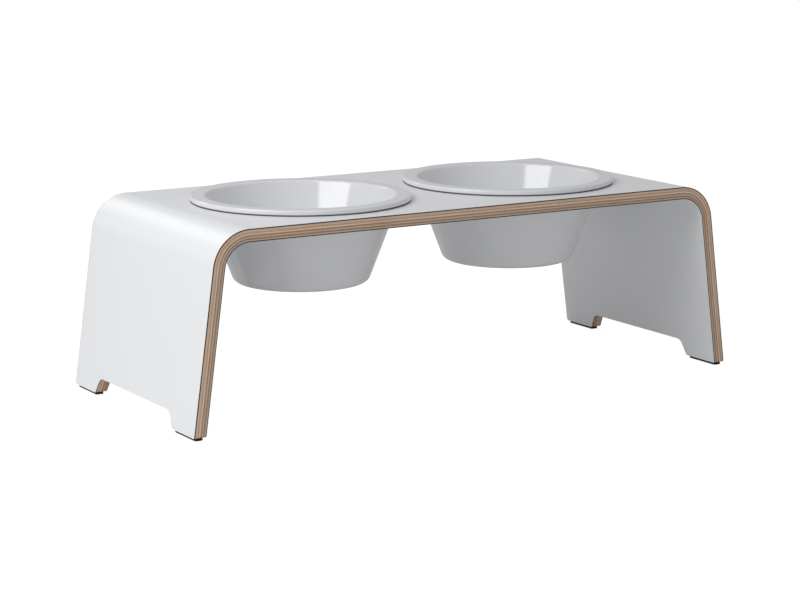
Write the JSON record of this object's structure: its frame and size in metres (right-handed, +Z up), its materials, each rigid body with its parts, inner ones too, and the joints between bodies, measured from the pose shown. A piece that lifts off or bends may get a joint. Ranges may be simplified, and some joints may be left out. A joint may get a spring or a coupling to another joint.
{
  "type": "pet feeding station",
  "caption": "Raised pet feeding station: a bench of bent laminated plywood on splayed, arched legs, with lift-out porcelain bowls hung by their rims in round holes.",
  "frame": {"origin": "on the floor, under the middle of the bench", "axes": "+X along the bench from left to right, -Y towards the front edge, +Z up"},
  "size_m": [0.568, 0.24, 0.1812],
  "materials": {
    "white_laminate": "white high-pressure laminate, satin, with a dark core at its cut edges",
    "long_grain_veneer": "oiled veneer edge, grain along the bench",
    "cross_grain_veneer": "oiled veneer edge, end grain at the front, darker",
    "white_porcelain": "white glaze, glossy",
    "black_silicone": "matte",
    "black_rubber": "matte"
  },
  "bodies": {
    "stand": {"outer_laminate": "white_laminate", "ply_1_long": "long_grain_veneer", "ply_2_cross": "cross_grain_veneer", "ply_3_long": "long_grain_veneer", "ply_4_cross": "cross_grain_veneer", "ply_5_long": "long_grain_veneer", "ply_6_cross": "cross_grain_veneer", "ply_7_long": "long_grain_veneer", "inner_laminate": "white_laminate", "front_left_pad": "black_rubber", "rear_left_pad": "black_rubber", "front_right_pad": "black_rubber", "rear_right_pad": "black_rubber"},
    "left_seal": {"left_seal_ring": "black_silicone"},
    "left_bowl": {"left_bowl": "white_porcelain"},
    "right_seal": {"right_seal_ring": "black_silicone"},
    "right_bowl": {"right_bowl": "white_porcelain"}
  },
  "joints": [
    {"name": "left_bowl_turn", "type": "hinge", "parent": "stand", "child": "left_seal", "pos_m": [-0.1128, 0, 0.1758], "axis": [0, 0, 1], "continuous": true},
    {"name": "left_bowl_lift", "type": "slide", "parent": "left_seal", "child": "left_bowl", "axis": [0, 0, 1], "range_m": [0, 0.11]},
    {"name": "right_bowl_turn", "type": "hinge", "parent": "stand", "child": "right_seal", "pos_m": [0.1128, 0, 0.1758], "axis": [0, 0, 1], "continuous": true},
    {"name": "right_bowl_lift", "type": "slide", "parent": "right_seal", "child": "right_bowl", "axis": [0, 0, 1], "range_m": [0, 0.11]}
  ]
}
